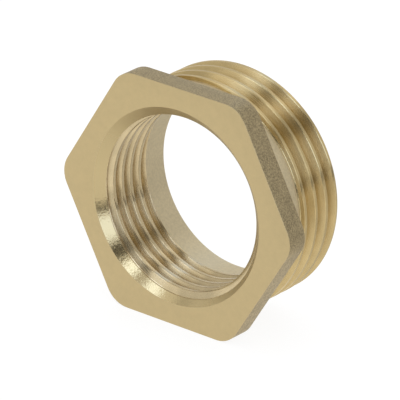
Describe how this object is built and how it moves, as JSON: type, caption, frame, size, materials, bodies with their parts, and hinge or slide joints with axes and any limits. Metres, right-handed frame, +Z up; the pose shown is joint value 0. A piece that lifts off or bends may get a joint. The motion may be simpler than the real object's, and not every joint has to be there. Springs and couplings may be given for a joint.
{
  "type": "hex bushing",
  "caption": "Thin hexagon flange with a short male pipe thread outside and a smaller female pipe thread inside, used to step one pipe size down to the next.",
  "frame": {"origin": "middle of the flat that the bushing rests on, half way along its length", "axes": "-Y along the thread axis, out of the hexagon's face and the female thread; +Y out of the male end; +Z up, away from the flat that it rests on; +X across two corners"},
  "size_m": [0.038, 0.0148, 0.034],
  "materials": {
    "brass": "machined face, threads and chamfers, with fine blasted forging skin on the hexagon's sides and in the neck"
  },
  "bodies": {
    "root": {"hex_bushing": "brass"}
  },
  "joints": []
}
